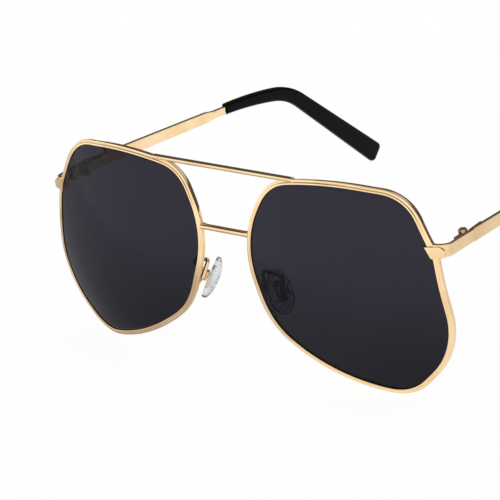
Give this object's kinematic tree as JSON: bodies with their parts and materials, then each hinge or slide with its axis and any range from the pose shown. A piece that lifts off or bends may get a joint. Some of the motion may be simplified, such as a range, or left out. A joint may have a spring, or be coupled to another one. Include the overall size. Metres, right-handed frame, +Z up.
{
  "type": "sunglasses",
  "caption": "Oversized sunglasses: polished gold metal frame with top bar and bridge, dark grey domed lenses, folding temples with black tips, rocking nose pads.",
  "frame": {"origin": "on the table, under the middle of the overall length, on the plane of symmetry", "axes": "+X to the wearer's left, +Y back along the temples, +Z up"},
  "size_m": [0.1406, 0.1484, 0.0605],
  "materials": {
    "gold_plate": "polished gold plate",
    "screw_steel": "turned, gold tinted",
    "lens_grey": "tinted, polished",
    "tip_black": "polished",
    "pad_silicone": "clear, soft"
  },
  "bodies": {
    "front": {"top_bar": "gold_plate", "bridge": "gold_plate", "left_rim": "gold_plate", "left_lens": "lens_grey", "left_end_piece": "gold_plate", "left_rim_lock_upper": "gold_plate", "left_rim_lock_lower": "gold_plate", "left_rim_lock_screw": "screw_steel", "left_hinge_front_leaf": "gold_plate", "left_hinge_screw": "screw_steel", "left_pad_arm": "gold_plate", "left_pad_box": "gold_plate", "left_pad_screw": "screw_steel", "right_rim": "gold_plate", "right_lens": "lens_grey", "right_end_piece": "gold_plate", "right_rim_lock_upper": "gold_plate", "right_rim_lock_lower": "gold_plate", "right_rim_lock_screw": "screw_steel", "right_hinge_front_leaf": "gold_plate", "right_hinge_screw": "screw_steel", "right_pad_arm": "gold_plate", "right_pad_box": "gold_plate", "right_pad_screw": "screw_steel"},
    "left_temple_arm": {"left_temple": "gold_plate", "left_temple_tip": "tip_black", "left_hinge_temple_leaf": "gold_plate"},
    "right_temple_arm": {"right_temple": "gold_plate", "right_temple_tip": "tip_black", "right_hinge_temple_leaf": "gold_plate"},
    "left_pad": {"left_nose_pad": "pad_silicone", "left_pad_insert": "screw_steel"},
    "right_pad": {"right_nose_pad": "pad_silicone", "right_pad_insert": "screw_steel"}
  },
  "joints": [
    {"name": "left_temple_fold", "type": "hinge", "parent": "front", "child": "left_temple_arm", "pos_m": [0.06745, -0.05125, 0.043], "axis": [0, 0, 1], "range_deg": [0, 89]},
    {"name": "right_temple_fold", "type": "hinge", "parent": "front", "child": "right_temple_arm", "pos_m": [-0.06745, -0.05125, 0.043], "axis": [0, 0, -1], "range_deg": [0, 84]},
    {"name": "left_pad_rock", "type": "hinge", "parent": "front", "child": "left_pad", "pos_m": [0.01417, -0.06565, 0.02426], "axis": [0.4382, 0.8984, -0.0289], "range_deg": [-8, 8]},
    {"name": "right_pad_rock", "type": "hinge", "parent": "front", "child": "right_pad", "pos_m": [-0.01417, -0.06565, 0.02426], "axis": [0.4382, -0.8984, 0.0289], "range_deg": [-8, 8]}
  ]
}
